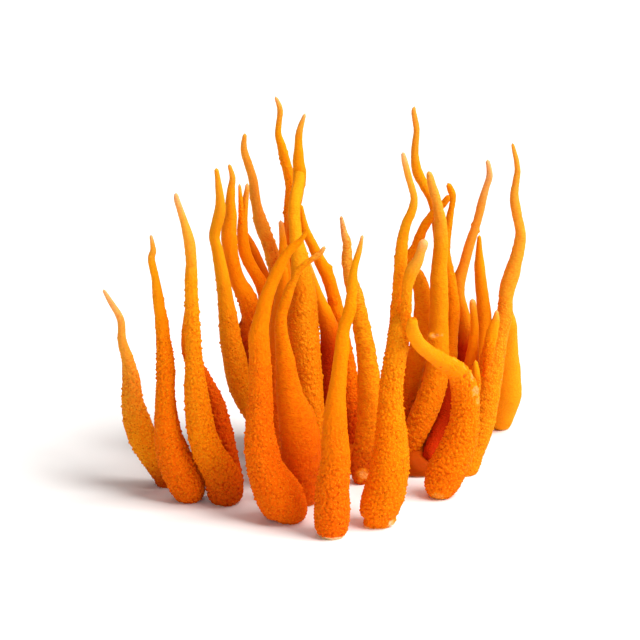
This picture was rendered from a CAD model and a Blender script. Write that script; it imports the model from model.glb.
"""Looks for a clump of orange cordyceps fruit bodies: granular clubs on cut feet and a low fused base."""
import math

import bmesh
import bpy
import numpy as np
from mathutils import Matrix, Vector
from mathutils.kdtree import KDTree


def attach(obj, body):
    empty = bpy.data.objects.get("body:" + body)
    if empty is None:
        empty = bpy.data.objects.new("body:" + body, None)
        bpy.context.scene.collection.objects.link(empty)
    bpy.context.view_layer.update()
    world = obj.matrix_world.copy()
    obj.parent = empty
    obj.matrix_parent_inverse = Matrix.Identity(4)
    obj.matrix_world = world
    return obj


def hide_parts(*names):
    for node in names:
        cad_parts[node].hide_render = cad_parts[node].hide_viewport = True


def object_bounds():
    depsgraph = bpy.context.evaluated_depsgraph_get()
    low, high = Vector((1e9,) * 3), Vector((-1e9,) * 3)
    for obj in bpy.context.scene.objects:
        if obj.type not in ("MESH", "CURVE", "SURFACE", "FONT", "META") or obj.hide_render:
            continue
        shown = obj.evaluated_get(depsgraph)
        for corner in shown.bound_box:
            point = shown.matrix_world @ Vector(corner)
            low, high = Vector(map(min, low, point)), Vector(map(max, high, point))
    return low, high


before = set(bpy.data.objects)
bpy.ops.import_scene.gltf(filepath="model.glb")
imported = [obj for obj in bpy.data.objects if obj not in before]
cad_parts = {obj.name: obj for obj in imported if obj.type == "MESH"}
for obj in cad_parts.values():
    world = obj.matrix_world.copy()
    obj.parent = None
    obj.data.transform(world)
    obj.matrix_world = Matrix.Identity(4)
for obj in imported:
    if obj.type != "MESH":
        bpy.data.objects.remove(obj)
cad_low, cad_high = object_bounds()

# The fused base
# The low lobed lump of flesh that the inner and back clubs grew from. It is smooth, firm and
# brownish orange, and it was sliced off flat underneath, where its pale inside shows at the rim.

MM = 0.001
LOOK_DOWN = math.radians(20.0)
CLUMP_CENTRE = np.array((-1.015, 26.31, 0.0))

base_outline = (
    (-10.8, 35.4), (-7.2, 34.0), (-3.6, 32.4), (-0.4, 31.2), (2.2, 30.2), (5.2, 29.7),
    (8.8, 30.0), (11.6, 29.6), (14.6, 28.8), (18.2, 28.8), (20.6, 31.0), (22.2, 34.4),
    (24.6, 36.4), (26.6, 40.2), (28.0, 44.0), (27.6, 48.2), (24.2, 49.6), (19.6, 48.4),
    (15.2, 48.8), (10.4, 46.2), (5.2, 46.6), (1.2, 49.6), (-4.0, 49.6), (-8.4, 47.6),
    (-11.2, 44.6), (-11.8, 39.6))
base_middle = np.array((8.6, 39.4))
# From the middle of the underside round the edge to the middle of the top: reach, draw-in, height.
base_profile = (
    (0.0, 0.0, 0.0), (0.5, 0.0, 0.0), (0.9, 0.0, 0.0), (1.0, 0.5, 0.0), (1.0, 0.0, 0.25),
    (1.0, -0.25, 0.8), (1.0, -0.1, 1.5), (1.0, 0.5, 2.3), (1.0, 1.3, 2.95), (1.0, 2.4, 3.4),
    (0.85, 2.2, 3.75), (0.5, 0.0, 3.9), (0.0, 0.0, 3.9))
BASE_SIDES = 240
BASE_ROWS = 90


def cell_values(cells, seed):
    """Three fixed pseudo-random numbers from 0 to 1 for each cell of a lattice."""
    mixed = cells[..., 0] * 73856093 ^ cells[..., 1] * 19349663 ^ cells[..., 2] * 83492791 ^ seed * 9176131
    values = []
    for turn in (1274126177, 2246822519, 3266489917):
        hashed = (mixed & 0xFFFFFFFF) * turn & 0xFFFFFFFF
        hashed ^= hashed >> 15
        hashed = hashed * 668265263 & 0xFFFFFFFF
        hashed ^= hashed >> 13
        values.append(hashed / 4294967296.0)
    return np.stack(values, axis=-1)


def soft_noise(spots, seed):
    """Smooth noise from -1 to 1 that changes over about one unit."""
    corner = np.floor(spots).astype(np.int64)
    part = spots - corner
    part = part * part * (3.0 - 2.0 * part)
    total = np.zeros(len(spots))
    for step in np.ndindex(2, 2, 2):
        offset = np.array(step)
        weight = np.prod(np.where(offset, part, 1.0 - part), axis=1)
        total += weight * cell_values(corner + offset, seed)[:, 0]
    return total * 2.0 - 1.0


def smooth_through(points, steps):
    """A smooth curve through points given as rows of any number of values."""
    ends = np.vstack((points[:1], points, points[-1:]))
    t = np.arange(steps)[:, None] / steps
    weights = (
        -0.5 * t + t * t - 0.5 * t ** 3, 1 - 2.5 * t * t + 1.5 * t ** 3,
        0.5 * t + 2 * t * t - 1.5 * t ** 3, -0.5 * t * t + 0.5 * t ** 3)
    spans = [sum(w * ends[i + k] for k, w in enumerate(weights)) for i in range(len(points) - 1)]
    return np.vstack(spans + [points[-1:]])


def rolled_skin(name, sides, rows, shape, attributes):
    """A grid rolled into a closed skin: `shape` gives each spot's place from its angle and row."""
    skin = bmesh.new()
    bmesh.ops.create_grid(skin, x_segments=sides, y_segments=rows - 1, size=1.0)
    flat = np.array([vert.co for vert in skin.verts])
    angle = (flat[:, 0] + 1.0) * math.pi
    row = np.rint((flat[:, 1] + 1.0) / 2.0 * (rows - 1)).astype(int)
    places, marks = shape(angle, row)
    low = np.array(cad_low) / MM + 0.01
    high = np.array(cad_high) / MM - 0.01
    low[2] = 0.0
    places = np.clip(places, low, high) * MM
    layers = [skin.verts.layers.float.new(attribute) for attribute in attributes]
    for vert, place, mark in zip(skin.verts, places, marks):
        vert.co = place
        for layer, value in zip(layers, mark):
            vert[layer] = value
    bmesh.ops.remove_doubles(skin, verts=skin.verts, dist=0.000002)
    bmesh.ops.recalc_face_normals(skin, faces=skin.faces)
    mesh = bpy.data.meshes.new(name)
    skin.to_mesh(mesh)
    skin.free()
    mesh.shade_smooth()
    piece = bpy.data.objects.new(name, mesh)
    bpy.context.scene.collection.objects.link(piece)
    return piece


def flesh(name, ramp, crown_colour, pit_colour, cut_colour, roughness, glow):
    """Moist fungus flesh: coloured along its length, darker in the pits and pale where it was cut."""
    material = bpy.data.materials.new(name)
    material.use_nodes = True
    nodes = material.node_tree.nodes
    link = material.node_tree.links.new
    shader = nodes["Principled BSDF"]
    shader.inputs["Subsurface Weight"].default_value = glow
    shader.inputs["Subsurface Radius"].default_value = (1.0, 0.3, 0.05)
    shader.inputs["Subsurface Scale"].default_value = 0.0011
    shader.inputs["Specular IOR Level"].default_value = 0.04
    spot = nodes.new("ShaderNodeTexCoord").outputs["Object"]

    def mark(attribute):
        node = nodes.new("ShaderNodeAttribute")
        node.attribute_name = attribute
        return node.outputs["Fac"]

    def cloud(grain_mm, detail, where=spot):
        node = nodes.new("ShaderNodeTexNoise")
        node.inputs["Scale"].default_value = 1.0 / (grain_mm * MM)
        node.inputs["Detail"].default_value = detail
        link(where, node.inputs["Vector"])
        return node.outputs["Fac"]

    def cells(pitch_mm):
        node = nodes.new("ShaderNodeTexVoronoi")
        node.inputs["Scale"].default_value = 1.0 / (pitch_mm * MM)
        link(spot, node.inputs["Vector"])
        return node.outputs["Distance"]

    def spread(value, from_low, from_high, to_low, to_high):
        node = nodes.new("ShaderNodeMapRange")
        link(value, node.inputs["Value"])
        numbers = (from_low, from_high, to_low, to_high)
        for socket, number in zip(("From Min", "From Max", "To Min", "To Max"), numbers):
            node.inputs[socket].default_value = number
        return node.outputs["Result"]

    def times(first, second, way="MULTIPLY"):
        node = nodes.new("ShaderNodeMath")
        node.operation = way
        for socket, value in zip(node.inputs, (first, second)):
            if isinstance(value, float):
                socket.default_value = value
            else:
                link(value, socket)
        return node.outputs["Value"]

    def blend(amount, first, second, way="MIX"):
        node = nodes.new("ShaderNodeMix")
        node.data_type = "RGBA"
        node.blend_type = way
        link(amount, node.inputs["Factor"])
        for socket, colour in (("A", first), ("B", second)):
            target = next(s for s in node.inputs if s.name == socket and s.type == "RGBA")
            if isinstance(colour, tuple):
                target.default_value = (*colour, 1.0)
            else:
                link(colour, target)
        return next(s for s in node.outputs if s.type == "RGBA")

    stops = nodes.new("ShaderNodeValToRGB")
    for index, (position, colour) in enumerate(ramp):
        stop = stops.color_ramp.elements[index] if index < 2 else stops.color_ramp.elements.new(position)
        stop.position = position
        stop.color = (*colour, 1.0)
    link(mark("along"), stops.inputs["Fac"])
    colour = stops.outputs["Color"]
    colour = blend(spread(cloud(2.4, 3.0), 0.35, 0.7, 0.0, 0.2), colour, (1.0, 0.7, 0.5), "MULTIPLY")
    granular = mark("granular")
    pebbles = cells(PEBBLE_PITCH)
    valley = times(spread(pebbles, 0.25, 0.6, 0.0, 0.7), granular)
    colour = blend(valley, colour, (0.97, 0.6, 0.3), "MULTIPLY")
    crown = times(spread(pebbles, 0.05, 0.3, 0.45, 0.0), granular)
    colour = blend(crown, colour, crown_colour)
    prick = times(spread(cells(PRICK_PITCH), 0.11, 0.29, 1.0, 0.0), granular)
    colour = blend(times(prick, spread(cloud(1.6, 2.0), 0.3, 0.65, 0.15, 0.75)), colour, pit_colour)
    flattened = nodes.new("ShaderNodeMapping")
    flattened.inputs["Scale"].default_value = (1.0, 1.0, 2.8)
    link(spot, flattened.inputs["Vector"])
    lines = cloud(0.55, 2.0, flattened.outputs["Vector"])
    crease = times(spread(lines, 0.48, 0.62, 0.0, 0.9), mark("creased"))
    colour = blend(crease, colour, (0.95, 0.6, 0.3), "MULTIPLY")
    colour = blend(mark("pit"), colour, pit_colour)
    colour = blend(mark("cut"), colour, cut_colour)
    link(colour, shader.inputs["Base Color"])
    link(spread(cloud(0.7, 2.0), 0.3, 0.7, roughness - 0.08, roughness + 0.1), shader.inputs["Roughness"])
    bump = nodes.new("ShaderNodeBump")
    bump.inputs["Strength"].default_value = 0.8
    bump.inputs["Distance"].default_value = 0.11 * MM
    grains = times(spread(pebbles, 0.1, 0.7, 1.0, 0.0), spread(granular, 0.0, 1.0, 0.2, 1.0))
    link(times(times(grains, prick, "SUBTRACT"), crease, "SUBTRACT"), bump.inputs["Height"])
    link(bump.outputs["Normal"], shader.inputs["Normal"])
    return material


PRICK_PITCH = 0.5
PEBBLE_PITCH = 0.36
CREAM = (0.9, 0.6, 0.3)
BASE_BROWN = (0.42, 0.056, 0.0)
base_flesh = flesh(
    "base_flesh", ((0.0, BASE_BROWN), (1.0, BASE_BROWN)), (0.5, 0.1, 0.0), (0.25, 0.03, 0.0),
    CREAM, 0.7, 0.15)


def base_skin(angle, row):
    """The base's skin: the lobed outline carried up the profile, with soft lumps on its side."""
    outline = smooth_through(np.array(base_outline + base_outline[:1], dtype=float), 24) - base_middle
    bearing = np.unwrap(np.arctan2(outline[:, 1], outline[:, 0]))
    reach = np.linalg.norm(outline, axis=1)
    order = np.argsort(bearing)
    bearing, reach = bearing[order], reach[order]
    around = np.interp(angle, bearing - bearing[0], reach)
    heading = angle + bearing[0]
    profile = smooth_through(np.array(base_profile), 12)
    stops = np.linspace(0, len(profile) - 1, BASE_ROWS)
    profile = np.stack([np.interp(stops, np.arange(len(profile)), profile[:, k]) for k in range(3)], axis=-1)
    share, draw_in, height = profile[row].T
    out = around * share - draw_in
    places = np.stack((
        base_middle[0] + out * np.cos(heading), base_middle[1] + out * np.sin(heading), height), axis=-1)
    lumps = soft_noise(places / 2.6, 5) * 0.45 + soft_noise(places / 0.9, 6) * 0.12
    side = np.clip(height / 1.2, 0.0, 1.0) * np.clip(share * 1.4 - 0.3, 0.0, 1.0)
    places[:, 0] += np.cos(heading) * lumps * side
    places[:, 1] += np.sin(heading) * lumps * side
    places[:, 2] += np.clip(height / 3.0, 0.0, 1.0) * lumps * 0.8
    cut = np.clip(1.0 - height / 0.3, 0.0, 1.0)
    places -= CLUMP_CENTRE
    bare = np.zeros(len(places))
    marks = np.stack((bare, bare, cut, bare), axis=-1)
    return places, marks


base = rolled_skin("fused_base_skin", BASE_SIDES, BASE_ROWS, base_skin, ("along", "pit", "cut", "granular"))
base.data.materials.append(base_flesh)
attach(base, "root")
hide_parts("fused_base")

# The flesh and growth of a club
# Every club is one solid body of moist flesh. Its lower part is covered in fine round granules with
# dark pits between them and a few sharper teeth; higher up the skin is smooth and faintly wrinkled.

FLOOR = 0.0
BASE_TOP = 3.0
BELOW_FOOT = 0.5
FOOT_ROUNDING = 1.3
FOOT_DRAW_IN = 0.42
TRIES_PER_GRAIN = 5
TOOTH_SHARE = 0.2
# How far a grain's dome and a tooth's spike reach, as shares of the pitch between grains.
DOME_REACH = 0.85
SPIKE_REACH = 0.6
# The flesh's relief sinks away where a club is thinner than this radius.
FULL_RELIEF_RADIUS = 0.9
TIP_ROUNDING = 1.4
LONGEST_TIP_ROUNDING = 1.2
SPUR_SHADE = 0.98
CUT_TINT = 1.0

club_flesh = flesh(
    "club_flesh",
    ((0.0, (0.87, 0.165, 0.0)), (1.0, (0.9, 0.45, 0.17)), (0.4, (0.89, 0.205, 0.0)),
     (0.75, (0.9, 0.27, 0.0)), (0.92, (0.9, 0.33, 0.004)), (0.975, (0.9, 0.37, 0.04))),
    (0.97, 0.36, 0.03), (0.47, 0.024, 0.0), CREAM, 0.72, 0.2)


def place(across, up, back):
    """The spot seen `across` and `up` the picture when it stands `back` from the front foot."""
    height = (up - back * math.sin(LOOK_DOWN)) / math.cos(LOOK_DOWN)
    return np.array((across, back, height)) - CLUMP_CENTRE


def ease(value, start, end):
    """A soft step from 0 at the start to 1 at the end."""
    part = np.clip((value - start) / (end - start), 0.0, 1.0)
    return part * part * (3.0 - 2.0 * part)


def scattered_grains(axis, left, front, radii, along, pitch, seed):
    """Grains scattered over a club's skin no nearer to each other than the pitch."""
    chance = np.random.RandomState(seed)
    area = radii * np.gradient(along)
    total = np.cumsum(area)
    tries = int(TRIES_PER_GRAIN * 2.0 * math.pi * total[-1] / pitch ** 2)
    row = np.interp(chance.rand(tries) * total[-1], total, np.arange(len(along)))
    low = np.floor(row).astype(int).clip(0, len(along) - 2)
    part = (row - low)[:, None]
    angle = chance.rand(tries)[:, None] * 2.0 * math.pi

    def between(values):
        return values[low] * (1.0 - part) + values[low + 1] * part

    outward = between(left) * np.cos(angle) + between(front) * np.sin(angle)
    grains = between(axis) + outward * between(radii[:, None])
    near = KDTree(tries)
    for index, grain in enumerate(grains):
        near.insert(grain, index)
    near.balance()
    kept = np.ones(tries, dtype=bool)
    for index, grain in enumerate(grains):
        if kept[index]:
            for _, other, _ in near.find_range(grain, pitch):
                kept[other] = other == index
    grains = grains[kept]
    near = KDTree(len(grains))
    for index, grain in enumerate(grains):
        near.insert(grain, index)
    near.balance()
    return near, chance.rand(len(grains))


def grow_club(name, foot, route, spacing=0.16, granules=(0.16, 0.4, 0.7), pitch=0.55, teeth=0.26,
              wrinkles=0.04, shades=(0.0, 1.0), sink=0.0, cut_rim=0.0, patches=(), spurs=(),
              deep=(0.0, 0.0, 1.0)):
    """One club, branch or bud: granular below, smooth above, rounded at the tip.

    `granules` is how high the grains stand and between which shares of the length they fade. `deep`
    is how dark the lower part is and where that fades. `shades` are the flesh's tints at the foot
    and the tip. `patches` are stains and scars: place, size, tint and darkness. `spurs` are small
    bumps: place, size and height. `sink` is how far a branch's root reaches into its trunk.
    """
    seed = sum(ord(letter) * (i + 3) for i, letter in enumerate(name))
    points = [(*place(across, up, back), radius) for across, up, back, radius in route]
    on_floor = foot is not None and foot[2] == FLOOR
    if foot is not None:
        foot_x, foot_y, foot_z, foot_radius = foot
        standing = np.array((foot_x, foot_y, foot_z)) - CLUMP_CENTRE
        below = standing - np.array((0.0, 0.0, BELOW_FOOT))
        points = [(*below, foot_radius), (*standing, foot_radius)] + points
    elif sink > 0.0:
        first, second = np.array(points[0]), np.array(points[1])
        inward = (first - second)[:3] / np.linalg.norm((first - second)[:3])
        points = [(*(first[:3] + inward * sink), first[3] * 1.15)] + points
    fine = smooth_through(np.array(points), 40)
    lengths = np.concatenate(((0.0,), np.cumsum(np.linalg.norm(np.diff(fine[:, :3], axis=0), axis=1))))
    whole = lengths[-1]
    strength, fade_from, fade_to = granules
    step = spacing * (1.0 + 0.9 * ease(lengths / whole, fade_from, fade_to))
    count = np.concatenate(((0.0,), np.cumsum(np.diff(lengths) / step[1:])))
    rows = int(count[-1]) + 2
    along = np.interp(np.linspace(0.0, count[-1], rows), count, lengths)
    spots = np.stack([np.interp(along, lengths, fine[:, k]) for k in range(3)], axis=-1)
    radii = np.interp(along, lengths, fine[:, 3])
    if on_floor:
        lift = np.clip(spots[:, 2] / FOOT_ROUNDING, 0.0, 1.0)
        radii = radii * np.sqrt(1.0 - FOOT_DRAW_IN * (1.0 - lift) ** 2)
    tip = min(TIP_ROUNDING * fine[-1, 3], LONGEST_TIP_ROUNDING)
    radii = radii * np.sqrt(1.0 - np.clip((along - whole + tip) / tip, 0.0, 1.0) ** 2)
    sides = max(20, int(2.0 * math.pi * fine[:, 3].max() / spacing))
    radii[0] = 0.0
    radii[-1] = 0.0

    forward = np.gradient(spots, axis=0)
    forward /= np.linalg.norm(forward, axis=1)[:, None]
    left = np.zeros_like(spots)
    turned = np.cross(forward[0], (0.0, 1.0, 0.0))
    for i, direction in enumerate(forward):
        turned = turned - direction * turned.dot(direction)
        turned /= np.linalg.norm(turned)
        left[i] = turned
    front = np.cross(forward, left)

    grains, grain_luck = scattered_grains(spots, left, front, radii, along, pitch, seed)
    tooth = np.clip((grain_luck - 1.0 + TOOTH_SHARE) / TOOTH_SHARE, 0.0, 1.0) ** 0.5

    def skin(angle, row):
        angle = angle - math.pi / 2.0
        outward = left[row] * np.cos(angle)[:, None] + front[row] * np.sin(angle)[:, None]
        radius = radii[row]
        part = along[row] / whole
        smooth = spots[row] + outward * radius[:, None]
        nearest = [grains.find(spot)[1:] for spot in smooth]
        grain = np.array([index for index, _ in nearest])
        reach = np.array([away for _, away in nearest]) / pitch
        straight = np.stack((radius * np.cos(angle), radius * np.sin(angle), along[row]), axis=-1)
        straight += seed % 97
        patchy = np.clip(0.9 + 0.7 * soft_noise(straight / 2.2, seed + 4), 0.3, 1.4)
        granular = 1.0 - ease(part + 0.12 * soft_noise(straight / 1.5, seed + 8), fade_from, fade_to)
        dome = 1.0 - np.clip(reach / DOME_REACH, 0.0, 1.0) ** 2
        raised = (dome - 0.55) * strength * (0.15 + 0.85 * granular) * (0.6 + 0.8 * grain_luck[grain])
        raised *= 1.5 - 0.6 * ease(part, 0.0, 0.4)
        spike = np.clip(1.0 - reach / SPIKE_REACH, 0.0, 1.0) ** 1.2
        spike = spike * tooth[grain] * teeth
        spike = spike * ease(part, 0.0, 0.2) * (1.0 - ease(part, fade_from + 0.1, fade_to + 0.2))
        raised += spike
        bands = soft_noise(straight / (1.3, 1.3, 0.45), seed + 2)
        raised += bands * wrinkles
        raised += soft_noise(straight / 3.2, seed + 3) * 0.1 + soft_noise(straight / 1.4, seed + 5) * 0.04
        pit = ease(reach, 0.65, 1.0) * (0.1 + 0.9 * granular) * patchy * 0.3
        pit += ease(-bands, 0.2, 0.8) * wrinkles
        pit += deep[0] * (1.0 - ease(part, deep[1], deep[2]))
        shade = shades[0] + (shades[1] - shades[0]) * part
        raised *= np.clip(radius / FULL_RELIEF_RADIUS, 0.0, 1.0)
        for across, up, back, size, height in spurs:
            here = np.clip(1.0 - np.linalg.norm(smooth - place(across, up, back), axis=1) / size, 0.0, 1.0)
            raised += here * height
            shade = shade * (1.0 - here) + SPUR_SHADE * here
        places = smooth + outward * raised[:, None]
        ragged = 0.12 * soft_noise(straight / 0.7, seed + 6)
        cut = 1.0 - ease(places[:, 2] + ragged, cut_rim * 0.7, cut_rim + 0.001)
        for across, up, back, size, tint, dark in patches:
            away = np.linalg.norm(places - place(across, up, back), axis=1) / size
            away += soft_noise(straight / 0.6, seed + 7) * 0.35
            here = 1.0 - ease(away, 0.5, 1.0)
            shade = shade * (1.0 - here) + tint * here
            pit = pit * (1.0 - here) + dark * here
            cut = np.maximum(cut, here * float(tint == CUT_TINT))
        pit = np.clip(pit, 0.0, 1.0) * (1.0 - cut)
        grainy = (0.12 + 0.88 * granular) * (1.0 - cut)
        creased = np.clip(wrinkles * 8.0 * (1.0 - 0.7 * granular), 0.0, 1.0) * (1.0 - cut)
        marks = np.stack((shade, pit, cut, grainy, creased), axis=-1)
        return places, marks

    club = rolled_skin(name + "_skin", sides, rows, skin, ("along", "pit", "cut", "granular", "creased"))
    club.data.materials.append(club_flesh)
    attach(club, "root")
    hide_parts(name)


# The front clubs
# The nearest club stands by itself on a cut foot whose rim shows cream. Behind it is a slimmer one
# with rows of sideways pits and a pinkish cut end.

grow_club(
    "club_front", (1.9, 1.5, FLOOR, 2.43), (
        (2.0, 3.7, 1.5, 2.85), (2.0, 7.8, 1.6, 2.8), (2.6, 12.8, 2.2, 2.45), (2.5, 16.2, 2.8, 2.2),
        (2.5, 19.5, 3.4, 2.0), (2.6, 22.8, 4.0, 1.6), (3.0, 26.2, 4.8, 1.37), (3.6, 31.2, 6.0, 1.2),
        (3.9, 34.5, 7.0, 1.05), (4.9, 37.8, 7.6, 0.97), (5.3, 41.2, 8.2, 0.87),
        (5.6, 44.5, 8.6, 0.6), (6.5, 47.8, 9.0, 0.46), (7.0, 50.2, 9.0, 0.25)),
    granules=(0.24, 0.15, 0.5), pitch=0.48, cut_rim=0.6)
grow_club(
    "club_behind_front", (6.8, 26.3, FLOOR, 1.36), (
        (6.9, 12.0, 26.3, 1.7), (7.6, 15.7, 26.2, 1.9), (8.3, 21.7, 26.0, 2.0),
        (8.1, 27.0, 26.0, 1.85), (7.7, 31.2, 26.0, 1.6), (7.2, 33.8, 26.0, 1.45),
        (6.7, 36.5, 26.0, 1.4), (6.0, 39.5, 26.2, 1.37), (5.15, 42.8, 26.4, 1.2),
        (4.58, 45.6, 26.6, 0.97), (4.5, 48.8, 26.8, 0.74), (3.9, 51.2, 27.0, 0.5),
        (3.5, 53.5, 27.0, 0.3)),
    granules=(0.12, 0.1, 0.5), spacing=0.17, wrinkles=0.14, shades=(0.75, 1.0),
    deep=(0.8, 0.04, 0.22), patches=((7.2, 10.4, 25.2, 1.5, 0.985, 0.0),))

# The front left pair
# Two thick clubs lean apart at the foot and curve over to the right at their tips. Both stand on
# round cut feet, and a thin club stands in the shade between them.

grow_club(
    "club_front_left", (-5.2, 8.4, FLOOR, 2.37), (
        (-5.35, 4.4, 8.4, 3.3), (-6.3, 6.2, 8.5, 3.9), (-7.15, 7.7, 8.6, 3.8),
        (-8.05, 9.4, 8.7, 3.45), (-8.9, 11.2, 8.8, 3.12), (-9.4, 12.9, 9.0, 2.88),
        (-9.85, 16.0, 9.5, 2.68), (-10.0, 19.5, 10.0, 2.3), (-9.8, 22.8, 10.3, 2.05),
        (-9.8, 26.2, 10.6, 1.9), (-10.0, 31.0, 11.0, 1.78), (-10.1, 33.6, 11.3, 1.7),
        (-9.7, 36.2, 11.7, 1.4), (-8.9, 39.5, 12.0, 1.18), (-7.75, 42.6, 12.4, 1.03),
        (-6.2, 45.9, 12.8, 0.88), (-4.7, 48.0, 13.0, 0.74), (-3.1, 49.4, 13.0, 0.5),
        (-2.0, 51.5, 13.0, 0.25)),
    granules=(0.2, 0.4, 0.7), pitch=0.45, shades=(0.0, 0.74))
grow_club(
    "club_front_left_twin", (-2.5, 16.6, FLOOR, 2.03), (
        (-2.7, 9.0, 16.6, 2.75), (-3.0, 12.2, 16.6, 3.2), (-3.3, 16.2, 16.6, 3.35),
        (-3.8, 19.5, 16.6, 3.05), (-4.8, 22.8, 16.8, 2.4), (-5.4, 26.2, 17.0, 1.9),
        (-5.8, 29.5, 17.2, 1.6), (-6.3, 32.8, 17.4, 1.15), (-6.5, 36.2, 17.6, 0.95),
        (-5.85, 38.8, 17.8, 0.86), (-5.05, 41.2, 18.0, 0.82), (-4.3, 42.9, 18.0, 0.66),
        (-3.5, 44.5, 18.0, 0.55), (-1.7, 46.0, 18.0, 0.5), (-0.1, 47.1, 18.0, 0.46),
        (0.85, 48.4, 18.0, 0.26)),
    granules=(0.1, 0.0, 0.45), wrinkles=0.1, deep=(0.3, 0.1, 0.35))
grow_club(
    "club_inner_left", (-6.8, 25.2, FLOOR, 1.58), (
        (-6.9, 12.0, 25.0, 1.6), (-7.2, 16.5, 24.6, 1.6), (-7.3, 22.0, 24.2, 1.5),
        (-7.4, 30.0, 23.8, 1.3), (-7.1, 36.0, 23.4, 1.17), (-6.5, 40.0, 23.2, 1.05),
        (-6.1, 42.8, 23.0, 0.85), (-5.8, 45.2, 23.0, 0.35)),
    spacing=0.25, shades=(0.0, 0.8), deep=(0.3, 0.8, 1.2))

# The forked club at the front right
# A thick trunk, granular all the way up, that forks into a long wavy branch and a short blunt one.

grow_club(
    "club_front_right", (8.8, 6.05, FLOOR, 2.09), (
        (9.3, 3.0, 6.25, 2.5), (9.75, 4.8, 6.45, 3.1), (10.3, 6.6, 6.4, 3.4), (11.1, 9.5, 6.3, 3.3),
        (11.6, 12.8, 6.5, 3.1), (11.8, 15.7, 7.0, 2.75), (11.7, 19.5, 7.6, 2.4),
        (11.7, 22.8, 8.1, 2.0), (11.9, 26.2, 8.6, 1.9), (12.4, 29.5, 9.1, 1.85),
        (12.8, 31.8, 9.5, 1.85), (13.1, 34.6, 10.0, 1.6), (13.4, 37.4, 10.3, 0.7)),
    granules=(0.2, 0.7, 1.3), pitch=0.48, shades=(0.6, 0.92), cut_rim=0.1,
    patches=((11.7, 2.9, 5.4, 1.1, 1.0, 0.0),), spurs=((11.8, 3.0, 5.6, 1.0, 0.6),))
grow_club(
    "branch_front_right_long", None, (
        (12.45, 36.2, 11.0, 0.95), (12.65, 38.4, 11.2, 0.98), (12.9, 40.2, 11.4, 0.98),
        (13.1, 43.0, 11.6, 1.0), (13.3, 45.8, 11.8, 1.06), (13.5, 48.5, 12.0, 0.98),
        (13.85, 50.6, 12.0, 0.88), (14.35, 52.4, 12.0, 0.8), (14.95, 53.7, 12.0, 0.76),
        (15.4, 55.1, 12.0, 0.71), (15.5, 56.4, 12.0, 0.63), (15.1, 58.0, 12.0, 0.6),
        (14.55, 59.8, 12.0, 0.56), (13.95, 62.1, 12.0, 0.5), (13.6, 63.8, 12.0, 0.32)),
    granules=(0.12, 0.1, 0.6), shades=(0.75, 1.0), sink=3.5)
grow_club(
    "branch_front_right_blunt", None, (
        (14.15, 35.95, 9.2, 0.95), (14.2, 38.2, 9.0, 0.98), (14.3, 40.6, 8.8, 0.95),
        (14.6, 42.9, 8.7, 1.0), (15.3, 44.6, 8.6, 1.06), (16.1, 46.0, 8.5, 0.95),
        (16.5, 47.2, 8.4, 0.88), (17.0, 48.6, 8.4, 0.82), (17.3, 49.5, 8.4, 0.5)),
    granules=(0.12, 0.2, 0.8), shades=(0.78, 1.0), sink=3.5)

# The bent club at the right
# A thick club that hooks over to the left and towards the viewer, smooth and pale on its bend.

grow_club(
    "club_bent_right", (19.8, 20.1, FLOOR, 2.03), (
        (20.2, 8.8, 19.9, 2.85), (21.1, 11.2, 20.0, 3.2), (22.7, 14.5, 20.2, 3.0),
        (23.8, 18.0, 20.6, 2.6), (24.2, 21.4, 20.8, 2.35), (24.1, 24.2, 20.4, 2.3),
        (23.5, 26.3, 19.2, 2.0), (22.4, 27.9, 17.4, 1.65), (20.4, 29.2, 14.6, 1.35),
        (18.1, 30.8, 11.6, 1.2), (16.3, 32.3, 8.9, 1.14), (15.3, 34.1, 7.4, 1.15),
        (15.2, 35.6, 6.6, 1.0), (15.5, 36.6, 6.2, 0.6)),
    granules=(0.22, 0.5, 0.68), pitch=0.5, shades=(0.5, 0.9),
    patches=(
        (25.9, 24.6, 19.4, 1.6, 0.99, 0.0), (25.4, 26.8, 18.6, 1.2, 0.985, 0.0),
        (24.0, 28.6, 17.4, 1.0, 0.96, 0.0), (22.4, 29.9, 15.8, 1.0, 0.94, 0.0),
        (26.4, 22.6, 19.6, 0.9, 0.98, 0.0), (19.7, 6.8, 18.2, 1.8, 0.97, 0.0),
        (23.9, 27.0, 16.9, 0.4, 0.3, 0.5), (24.9, 25.3, 17.8, 0.45, 0.3, 0.6),
        (26.3, 22.0, 18.9, 0.4, 0.3, 0.6), (21.2, 28.6, 14.2, 0.4, 0.3, 0.4),
        (20.0, 28.3, 13.0, 0.4, 0.3, 0.4), (15.4, 36.9, 6.2, 0.7, 0.5, 0.45)))

# The left clubs
# Three clubs fan out to the left on their own feet, and a shorter twin hides behind the third.

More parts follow.
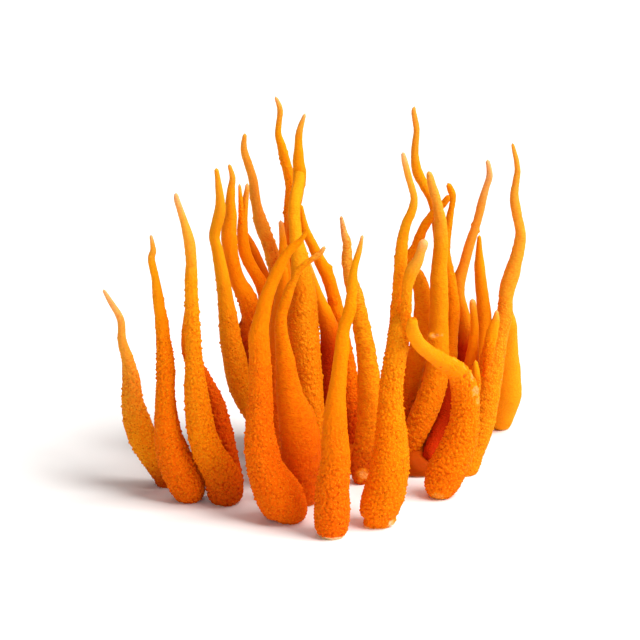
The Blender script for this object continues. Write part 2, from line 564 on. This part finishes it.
grow_club(
    "club_far_left", (-25.3, 25.4, FLOOR, 1.92), (
        (-26.1, 10.8, 25.0, 2.15), (-27.8, 13.4, 25.0, 2.3), (-29.6, 16.6, 25.0, 2.4),
        (-30.6, 19.5, 25.2, 2.3), (-31.3, 22.8, 25.5, 1.8), (-31.5, 26.2, 26.0, 1.5),
        (-32.05, 29.5, 26.3, 1.0), (-33.0, 32.8, 26.6, 0.78), (-33.2, 36.2, 27.0, 0.62),
        (-35.05, 39.5, 27.0, 0.44), (-36.1, 41.3, 27.0, 0.25)),
    granules=(0.18, 0.5, 0.85), pitch=0.5, spacing=0.17, shades=(0.88, 1.0), deep=(0.8, 0.04, 0.2))
grow_club(
    "club_left_outer", (-22.0, 18.4, FLOOR, 2.26), (
        (-22.1, 8.6, 18.1, 3.0), (-23.4, 11.2, 18.0, 3.0), (-24.65, 14.5, 18.0, 2.72),
        (-25.4, 17.8, 18.0, 2.2), (-25.7, 22.8, 18.0, 1.7), (-25.6, 27.8, 18.2, 1.55),
        (-26.0, 32.8, 18.4, 1.22), (-26.3, 36.2, 18.6, 1.12), (-26.8, 39.5, 18.8, 0.92),
        (-27.2, 42.8, 19.0, 0.7), (-27.9, 46.2, 19.0, 0.58), (-27.6, 47.8, 19.0, 0.5),
        (-28.0, 50.3, 19.0, 0.25)),
    granules=(0.2, 0.5, 0.85), pitch=0.5, shades=(0.2, 1.0), deep=(0.2, 0.0, 0.3))
grow_club(
    "club_left_inner", (-15.75, 17.1, FLOOR, 2.66), (
        (-15.95, 8.9, 17.1, 3.08), (-17.0, 11.4, 16.8, 2.8), (-18.7, 14.5, 16.5, 2.6),
        (-19.7, 17.8, 16.3, 2.4), (-20.4, 22.8, 16.3, 2.1), (-20.8, 27.8, 16.4, 1.6),
        (-21.1, 34.5, 16.6, 1.25), (-21.28, 39.5, 16.9, 1.1), (-21.35, 42.8, 17.2, 1.02),
        (-21.3, 46.2, 17.5, 0.9), (-21.7, 49.5, 17.7, 0.88), (-22.6, 52.8, 18.0, 0.62),
        (-23.6, 55.9, 18.0, 0.5), (-23.8, 57.2, 18.0, 0.3)),
    granules=(0.2, 0.5, 0.85), pitch=0.5, shades=(0.7, 1.0), deep=(0.7, 0.04, 0.24))
grow_club(
    "club_left_inner_twin", (-14.4, 22.5, FLOOR, 1.81), (
        (-15.0, 10.3, 23.0, 2.0), (-15.9, 13.0, 23.1, 2.2), (-16.95, 17.8, 22.8, 2.25),
        (-18.2, 22.8, 22.2, 2.0), (-20.4, 27.6, 21.5, 1.5), (-21.9, 31.0, 21.0, 1.05),
        (-22.1, 34.5, 20.6, 0.85), (-21.9, 37.6, 20.4, 0.6), (-21.7, 39.4, 20.3, 0.35)),
    granules=(0.2, 0.6, 0.9), spacing=0.2, deep=(0.6, 0.6, 1.0))

# The back left clubs
# Slender clubs crowded behind the left ones. One carries a thin twig, and most lean to the left.

grow_club(
    "club_back_left_outer", (-8.2, 31.2, FLOOR, 1.81), (
        (-8.4, 14.6, 31.4, 1.8), (-9.7, 18.6, 31.8, 1.9), (-12.2, 22.8, 32.2, 1.95),
        (-13.6, 26.2, 32.5, 2.05), (-14.3, 29.5, 32.7, 2.0), (-14.9, 32.8, 33.0, 1.8),
        (-15.3, 36.2, 33.2, 1.6), (-16.0, 41.2, 33.5, 1.2), (-16.5, 44.5, 33.7, 1.12),
        (-17.1, 47.8, 33.9, 0.95), (-17.6, 50.2, 34.0, 0.95), (-17.0, 52.8, 34.0, 1.0),
        (-16.6, 55.3, 34.0, 0.85), (-17.0, 59.5, 34.0, 0.48), (-17.3, 61.5, 34.0, 0.35)),
    granules=(0.11, 0.4, 0.7), spacing=0.19, wrinkles=0.02, shades=(0.84, 0.94))
grow_club(
    "club_back_left_second", (-9.0, 38.0, BASE_TOP, 1.87), (
        (-8.8, 20.0, 37.6, 1.9), (-10.2, 26.0, 37.3, 2.2), (-11.1, 31.5, 37.3, 2.35),
        (-11.45, 34.5, 37.3, 2.3), (-11.25, 35.9, 37.1, 1.95), (-12.1, 39.5, 37.0, 1.62),
        (-13.8, 42.8, 37.0, 1.35), (-14.65, 45.8, 37.0, 1.2), (-14.95, 47.8, 37.0, 1.22),
        (-15.2, 49.8, 37.0, 1.3), (-15.15, 51.6, 37.0, 1.25), (-14.85, 53.8, 37.0, 1.0),
        (-14.95, 56.0, 37.0, 0.82), (-14.8, 58.2, 37.0, 0.66), (-14.6, 60.0, 37.0, 0.5),
        (-15.2, 62.2, 37.0, 0.28)),
    spacing=0.22, shades=(0.4, 0.97), deep=(0.75, 0.36, 0.56))
grow_club(
    "club_back_left_forked", (-6.1, 41.0, BASE_TOP, 1.65), (
        (-6.4, 22.8, 40.8, 1.65), (-7.4, 31.2, 40.1, 1.55), (-8.6, 37.8, 39.7, 1.4),
        (-9.6, 41.8, 39.4, 1.15), (-10.7, 43.8, 39.2, 1.02), (-11.7, 45.5, 39.2, 0.98),
        (-12.5, 47.4, 39.2, 0.98), (-12.9, 49.6, 39.2, 1.0), (-12.95, 52.2, 39.2, 0.92),
        (-12.75, 54.4, 39.2, 0.78), (-12.45, 56.4, 39.2, 0.58), (-12.2, 58.0, 39.2, 0.42),
        (-12.15, 59.1, 39.2, 0.26)),
    spacing=0.25)
grow_club(
    "twig_back_left", None, (
        (-13.15, 53.2, 37.4, 0.4), (-13.2, 54.6, 37.4, 0.44), (-13.25, 56.2, 37.4, 0.4),
        (-13.35, 57.8, 37.5, 0.3), (-13.45, 59.0, 37.6, 0.2)),
    spacing=0.25, shades=(0.7, 1.0), sink=1.2)
grow_club(
    "club_back_left_hidden", (-8.8, 44.2, BASE_TOP, 1.54), (
        (-8.2, 22.8, 44.2, 1.5), (-7.4, 31.2, 43.9, 1.45), (-8.3, 39.5, 43.7, 1.25),
        (-9.6, 43.7, 43.6, 1.05), (-10.6, 46.4, 43.4, 0.98), (-11.6, 48.6, 43.2, 0.85),
        (-12.2, 50.0, 43.0, 0.6), (-12.5, 51.0, 43.0, 0.3)),
    spacing=0.25, shades=(0.0, 0.8), deep=(0.45, 0.8, 1.3))
grow_club(
    "club_back_left_tall", (-4.4, 46.8, BASE_TOP, 1.98), (
        (-5.2, 24.0, 47.0, 1.85), (-5.9, 30.0, 47.5, 1.75), (-6.3, 36.5, 47.9, 1.65),
        (-6.9, 42.5, 48.0, 1.5), (-7.7, 46.2, 48.0, 1.3), (-8.8, 49.4, 48.0, 1.18),
        (-10.0, 52.8, 48.0, 1.12), (-10.8, 56.2, 48.0, 0.9), (-11.2, 59.5, 48.0, 0.82),
        (-11.9, 62.0, 48.0, 0.7), (-12.75, 64.8, 48.0, 0.56), (-12.55, 67.5, 48.0, 0.3)),
    granules=(0.12, 0.5, 0.8), spacing=0.22, shades=(0.9, 0.97))
grow_club(
    "club_back_small", (-2.7, 38.2, BASE_TOP, 1.38), (
        (-3.4, 24.0, 38.2, 1.35), (-4.4, 33.0, 38.0, 1.2), (-5.4, 40.0, 37.8, 1.02),
        (-6.0, 46.0, 37.6, 0.94), (-6.2, 49.5, 37.6, 0.65), (-6.6, 52.9, 37.6, 0.35)),
    spacing=0.25)

# The centre clubs
# The tallest clubs of the clump rise in the middle, round one very thick granular club.

grow_club(
    "club_centre_thick", (-0.6, 26.4, FLOOR, 2.26), (
        (-0.9, 13.0, 26.6, 2.25), (-1.4, 18.0, 26.8, 2.4), (-1.9, 22.8, 27.0, 2.5),
        (-2.3, 28.0, 27.2, 2.6), (-2.7, 33.0, 27.4, 2.6), (-2.8, 36.4, 27.6, 2.45),
        (-2.7, 40.0, 28.0, 2.1), (-3.05, 43.7, 28.6, 1.75), (-3.45, 46.8, 30.4, 1.48),
        (-3.9, 49.2, 31.7, 1.22), (-4.15, 51.5, 33.0, 1.05), (-4.3, 53.3, 34.2, 0.98),
        (-4.25, 55.2, 35.2, 0.98), (-4.0, 57.0, 37.0, 1.02), (-3.6, 59.1, 39.4, 1.0),
        (-3.45, 61.6, 41.0, 0.85), (-3.6, 64.0, 41.0, 0.5)),
    granules=(0.18, 0.5, 0.75), spacing=0.18, shades=(0.88, 0.92))
grow_club(
    "club_centre_shoulder", (1.9, 33.4, BASE_TOP, 1.98), (
        (1.7, 20.0, 33.3, 1.95), (1.6, 26.0, 33.1, 1.9), (1.8, 31.5, 32.9, 1.75),
        (1.3, 35.6, 32.8, 1.5), (-0.3, 39.6, 32.7, 1.2), (-1.4, 43.0, 32.7, 0.85),
        (-1.9, 45.8, 32.7, 0.35)),
    spacing=0.22, deep=(0.9, 0.55, 0.8))
grow_club(
    "club_centre_crossing", (5.5, 36.6, BASE_TOP, 1.76), (
        (5.2, 22.8, 36.6, 1.7), (4.5, 28.5, 36.5, 1.55), (3.7, 32.4, 36.4, 1.4),
        (3.05, 36.4, 36.3, 1.3), (2.55, 38.8, 36.3, 1.22), (2.0, 41.2, 36.3, 1.12),
        (1.3, 43.5, 36.3, 1.06), (0.35, 45.4, 36.3, 1.04), (-1.1, 48.3, 36.3, 0.9),
        (-2.5, 51.4, 36.3, 0.76), (-3.0, 53.8, 36.3, 0.5), (-3.2, 55.5, 36.3, 0.3)),
    spacing=0.22, shades=(0.3, 0.9), deep=(0.8, 0.08, 0.3), spurs=((1.8, 45.0, 36.3, 0.8, 0.4),))
grow_club(
    "club_back_tallest", (-0.4, 46.8, BASE_TOP, 1.76), (
        (-1.1, 26.0, 46.0, 1.7), (-2.5, 34.0, 45.4, 1.5), (-3.9, 42.0, 45.4, 1.35),
        (-4.65, 50.0, 45.6, 1.2), (-5.0, 54.5, 46.0, 1.12), (-4.85, 58.0, 46.0, 0.98),
        (-5.2, 60.5, 46.2, 0.95), (-5.75, 62.5, 46.2, 0.88), (-6.4, 65.2, 46.2, 0.76),
        (-7.0, 67.3, 46.2, 0.58), (-6.85, 69.3, 46.2, 0.52), (-6.7, 71.5, 46.2, 0.52),
        (-7.5, 73.6, 46.2, 0.28)),
    granules=(0.12, 0.6, 0.9), spacing=0.25, shades=(0.2, 1.0))
grow_club(
    "club_back_tall_second", (0.6, 42.0, BASE_TOP, 1.65), (
        (-0.6, 22.0, 42.0, 1.6), (-2.6, 30.0, 41.8, 1.45), (-4.0, 38.0, 41.6, 1.3),
        (-4.6, 45.0, 41.5, 1.15), (-4.6, 51.5, 41.3, 1.05), (-4.25, 55.0, 41.1, 1.02),
        (-3.75, 57.9, 41.0, 1.08), (-3.4, 60.8, 41.0, 1.12), (-3.58, 62.8, 41.0, 0.97),
        (-3.62, 64.8, 41.0, 0.78), (-3.58, 66.4, 41.0, 0.64), (-3.4, 67.7, 41.0, 0.58),
        (-3.05, 69.0, 41.0, 0.46), (-2.45, 70.7, 41.0, 0.24)),
    spacing=0.25)

# The back right clubs
# A crowded row whose skins are wrinkled crosswise rather than granular.

grow_club(
    "club_back_right_thick", (14.2, 33.0, BASE_TOP, 2.09), (
        (16.0, 17.6, 33.0, 2.15), (17.6, 21.0, 33.2, 2.2), (18.8, 24.2, 33.6, 2.1),
        (19.5, 27.2, 34.0, 1.95), (19.8, 32.0, 34.6, 1.75), (19.9, 36.2, 35.0, 1.6),
        (19.9, 40.0, 35.0, 1.58), (19.9, 44.3, 35.0, 1.42), (20.2, 48.6, 35.0, 1.25),
        (20.1, 52.3, 35.0, 1.1), (19.6, 55.4, 35.0, 0.82), (18.9, 57.8, 35.0, 0.72),
        (18.3, 60.0, 35.0, 0.55), (18.1, 61.0, 35.0, 0.35)),
    granules=(0.12, 0.1, 0.5), wrinkles=0.05, spacing=0.17, shades=(0.75, 0.98),
    deep=(0.3, 0.0, 0.3), spurs=((18.5, 33.5, 33.6, 0.8, 0.9),),
    patches=(
        (19.0, 33.55, 33.3, 0.6, 0.99, 0.0), (19.7, 33.6, 33.1, 0.55, 0.985, 0.0),
        (20.4, 33.65, 33.2, 0.5, 0.98, 0.0)))
grow_club(
    "club_back_right_tallest", (16.6, 45.4, BASE_TOP, 1.87), (
        (18.0, 24.0, 45.0, 1.8), (19.6, 33.0, 44.6, 1.6), (20.4, 42.8, 44.2, 1.3),
        (20.0, 50.5, 44.0, 1.0), (19.0, 55.6, 44.0, 0.85), (17.65, 58.3, 44.0, 0.82),
        (16.7, 60.1, 44.0, 0.8), (16.1, 61.6, 44.0, 0.8), (15.9, 63.2, 44.0, 0.75),
        (15.85, 64.7, 44.0, 0.67), (16.0, 66.2, 44.0, 0.62), (16.15, 68.0, 44.0, 0.54),
        (15.9, 69.6, 44.0, 0.5), (15.65, 71.0, 44.0, 0.42), (15.8, 71.9, 44.0, 0.25)),
    granules=(0.08, 0.0, 0.35), spacing=0.22, wrinkles=0.06, shades=(0.65, 0.98))
grow_club(
    "club_back_right_hooked", (18.7, 31.3, BASE_TOP, 1.54), (
        (19.7, 16.4, 33.8, 1.6), (20.8, 19.4, 36.0, 1.75), (21.2, 22.8, 37.0, 1.75),
        (21.5, 27.0, 38.2, 1.55), (21.7, 31.2, 39.0, 1.35), (21.9, 33.8, 39.0, 1.25),
        (22.2, 36.4, 39.0, 1.2), (22.2, 39.0, 38.9, 1.18), (21.9, 41.6, 38.8, 1.12),
        (21.4, 44.5, 38.7, 1.05), (20.9, 47.4, 38.6, 0.9), (21.2, 50.6, 38.6, 0.78),
        (21.8, 54.0, 38.6, 0.6), (22.2, 56.6, 38.6, 0.52), (21.7, 58.2, 38.6, 0.52),
        (21.3, 59.1, 38.6, 0.3)),
    granules=(0.08, 0.0, 0.35), spacing=0.22, wrinkles=0.08, shades=(0.6, 0.9),
    deep=(1.0, 0.25, 0.42))
grow_club(
    "club_back_right_crossing", (10.4, 42.0, BASE_TOP, 1.65), (
        (12.2, 23.5, 41.8, 1.6), (13.1, 31.2, 41.6, 1.5), (13.3, 37.8, 41.3, 1.25),
        (13.5, 42.8, 41.0, 1.1), (14.5, 45.8, 41.0, 0.98), (16.1, 48.6, 41.0, 0.88),
        (17.4, 51.7, 41.0, 0.78), (19.2, 54.2, 41.0, 0.7), (20.6, 55.6, 41.0, 0.6),
        (21.4, 56.6, 41.0, 0.52), (21.8, 57.1, 41.0, 0.3)),
    granules=(0.08, 0.0, 0.35), spacing=0.22, wrinkles=0.08, shades=(0.4, 0.8),
    deep=(1.0, 0.35, 0.7))
grow_club(
    "club_inner_right", (12.9, 38.4, BASE_TOP, 1.65), (
        (13.9, 20.4, 38.4, 1.7), (14.7, 23.4, 38.4, 1.7), (15.4, 26.4, 38.4, 1.65),
        (16.2, 29.8, 38.4, 1.6), (16.8, 33.6, 38.4, 1.5), (17.2, 37.5, 38.4, 1.55),
        (17.1, 40.4, 38.4, 1.42), (16.75, 42.8, 38.4, 1.2), (16.3, 44.8, 38.4, 0.5)),
    spacing=0.2, granules=(0.1, 0.1, 0.5), wrinkles=0.1, shades=(0.65, 0.9), deep=(0.35, 0.3, 0.6))

# The far right clubs
# The clubs at the right edge of the clump, the tallest with three small buds beside it.

grow_club(
    "club_far_right", (24.3, 30.3, FLOOR, 2.03), (
        (25.3, 13.7, 31.6, 2.1), (26.3, 16.2, 32.2, 2.1), (27.3, 19.5, 33.0, 2.05),
        (27.9, 22.8, 33.7, 2.1), (28.4, 26.2, 34.6, 2.15), (29.2, 31.2, 35.6, 1.9),
        (30.2, 34.5, 36.2, 1.55), (30.9, 37.5, 36.6, 1.3), (31.1, 39.6, 37.0, 1.25),
        (31.4, 41.7, 37.3, 1.35), (32.3, 44.5, 37.6, 1.25), (33.2, 48.0, 37.8, 1.08),
        (33.5, 50.6, 38.0, 0.95), (33.15, 52.6, 38.0, 0.9), (32.6, 55.3, 38.0, 0.76),
        (32.42, 57.2, 38.0, 0.7), (32.72, 59.3, 38.0, 0.63), (32.95, 61.1, 38.0, 0.54),
        (32.75, 62.8, 38.0, 0.48), (32.35, 64.4, 38.0, 0.36), (32.05, 65.7, 38.0, 0.22)),
    granules=(0.1, 0.35, 0.6), pitch=0.45, spacing=0.18, shades=(0.9, 0.97), wrinkles=0.06)
grow_club(
    "club_far_right_back", (30.6, 52.6, FLOOR, 1.64), (
        (30.9, 21.3, 51.7, 2.5), (31.3, 23.9, 51.0, 2.85), (31.2, 27.8, 50.0, 2.62),
        (31.1, 32.0, 48.5, 2.3), (31.4, 35.3, 47.0, 1.75), (31.2, 38.0, 46.0, 1.25),
        (31.4, 41.5, 45.0, 0.85), (31.7, 45.8, 44.0, 0.35)),
    granules=(0.03, -0.5, -0.2), teeth=0.0, spacing=0.22, shades=(0.9, 0.93))
grow_club(
    "club_right_slanting", (22.9, 43.4, BASE_TOP, 1.76), (
        (23.6, 24.0, 43.0, 2.0), (24.2, 30.0, 42.4, 1.85), (24.5, 32.8, 42.0, 1.45),
        (24.4, 35.4, 41.8, 1.15), (24.0, 37.8, 41.7, 1.0), (23.4, 40.0, 41.6, 1.02),
        (23.3, 42.5, 41.6, 1.08), (24.0, 45.0, 41.6, 0.9), (24.7, 47.6, 41.6, 0.85),
        (25.5, 50.2, 41.6, 0.76), (26.4, 53.0, 41.6, 0.76), (27.05, 55.8, 41.6, 0.7),
        (27.75, 58.3, 41.6, 0.62), (28.35, 60.4, 41.6, 0.52), (27.95, 63.0, 41.6, 0.3)),
    granules=(0.1, 0.1, 0.5), spacing=0.2, shades=(0.85, 1.0), deep=(1.0, 0.32, 0.46),
    spurs=((25.1, 52.2, 41.6, 0.5, 0.4), (26.7, 51.0, 41.6, 0.5, 0.4)))
grow_club(
    "club_right_slim", (25.4, 46.8, BASE_TOP, 1.76), (
        (26.6, 24.5, 46.8, 1.6), (27.3, 31.2, 46.8, 1.4), (27.6, 36.0, 46.8, 1.35),
        (27.3, 40.2, 46.8, 1.1), (26.95, 43.5, 46.8, 0.92), (26.75, 46.9, 46.8, 0.72),
        (26.75, 50.5, 46.8, 0.28)),
    granules=(0.08, 0.0, 0.4), spacing=0.22, shades=(0.75, 0.9))
grow_club(
    "bud_right_blunt", (23.6, 38.4, BASE_TOP, 1.54), (
        (24.4, 19.0, 38.3, 1.5), (25.0, 24.0, 38.0, 1.4), (25.4, 28.7, 37.4, 1.2),
        (25.7, 32.0, 37.2, 0.92), (25.9, 35.0, 37.2, 0.7), (25.6, 38.4, 37.2, 0.62),
        (25.5, 39.8, 37.2, 0.42)),
    spacing=0.22)
grow_club(
    "bud_right_pointed", None, (
        (27.9, 28.0, 31.4, 0.65), (28.1, 30.2, 31.8, 0.92), (28.5, 32.6, 32.2, 0.97),
        (28.9, 34.6, 32.5, 0.92), (29.4, 36.3, 32.7, 0.65), (29.5, 37.9, 32.8, 0.25)),
    spacing=0.2, shades=(0.5, 1.0), sink=1.5)
grow_club(
    "bud_right_low", None, (
        (26.2, 24.2, 29.8, 0.6), (26.2, 25.6, 30.0, 0.75), (26.1, 27.2, 30.4, 0.7),
        (26.0, 28.6, 30.8, 0.5), (26.0, 29.5, 31.0, 0.28)),
    spacing=0.2, shades=(0.5, 0.94), sink=1.5)

# The floor, the light and the camera
# A plain white floor under a large soft light from the right and a little in front, with a pale
# room all round. The camera looks along the clump's depth from twenty degrees above the floor.

CAMERA_DISTANCE = 1.9987
PICTURE_WIDTH_AT_CLUMP = 0.106667
SENSOR = 36.0
aim = Vector((1.015, 0.69, 28.68)) * MM

floor_mesh = bpy.data.meshes.new("floor")
floor_shape = bmesh.new()
bmesh.ops.create_grid(floor_shape, x_segments=1, y_segments=1, size=6.0)
floor_shape.to_mesh(floor_mesh)
floor_shape.free()
floor = bpy.data.objects.new("floor", floor_mesh)
bpy.context.scene.collection.objects.link(floor)
floor_paint = bpy.data.materials.new("floor_white")
floor_paint.use_nodes = True
paint = floor_paint.node_tree.nodes["Principled BSDF"]
paint.inputs["Base Color"].default_value = (0.94, 0.93, 0.92, 1.0)
paint.inputs["Roughness"].default_value = 0.6
paint.inputs["Specular IOR Level"].default_value = 0.2
floor_mesh.materials.append(floor_paint)


def soft_light(name, spot, size, power, colour):
    lamp = bpy.data.lights.new(name, "AREA")
    lamp.shape = "DISK"
    lamp.size = size
    lamp.energy = power
    lamp.color = colour
    light = bpy.data.objects.new(name, lamp)
    light.location = Vector(spot)
    light.rotation_euler = (aim - light.location).to_track_quat("-Z", "Y").to_euler()
    bpy.context.scene.collection.objects.link(light)


window = bpy.data.lights.new("key_light", "SUN")
window.angle = math.radians(42.0)
window.energy = 4.5
window.color = (1.0, 0.99, 0.97)
window_light = bpy.data.objects.new("key_light", window)
window_light.rotation_euler = Vector((0.6, -0.2, 0.77)).to_track_quat("Z", "Y").to_euler()
bpy.context.scene.collection.objects.link(window_light)

soft_light("top_light", (0.05, 0.2, 0.9), 0.8, 2.0, (1.0, 1.0, 1.0))
soft_light("front_light", (-0.2, -0.75, 0.35), 0.4, 1.3, (1.0, 1.0, 1.0))

room = bpy.data.worlds.new("pale_room")
bpy.context.scene.world = room
room.use_nodes = True
room.node_tree.nodes["Background"].inputs["Color"].default_value = (1.0, 1.0, 1.0, 1.0)
room.node_tree.nodes["Background"].inputs["Strength"].default_value = 0.15
bpy.context.scene.view_settings.view_transform = "Standard"

lens = bpy.data.cameras.new("camera")
lens.sensor_width = SENSOR
lens.lens = SENSOR * 2.0 / PICTURE_WIDTH_AT_CLUMP
lens.clip_start = 0.1
lens.clip_end = 20.0
camera = bpy.data.objects.new("camera", lens)
backward = Vector((0.0, -math.cos(LOOK_DOWN), math.sin(LOOK_DOWN)))
camera.location = aim + backward * CAMERA_DISTANCE
camera.rotation_euler = (-backward).to_track_quat("-Z", "Y").to_euler()
bpy.context.scene.collection.objects.link(camera)
bpy.context.scene.camera = camera
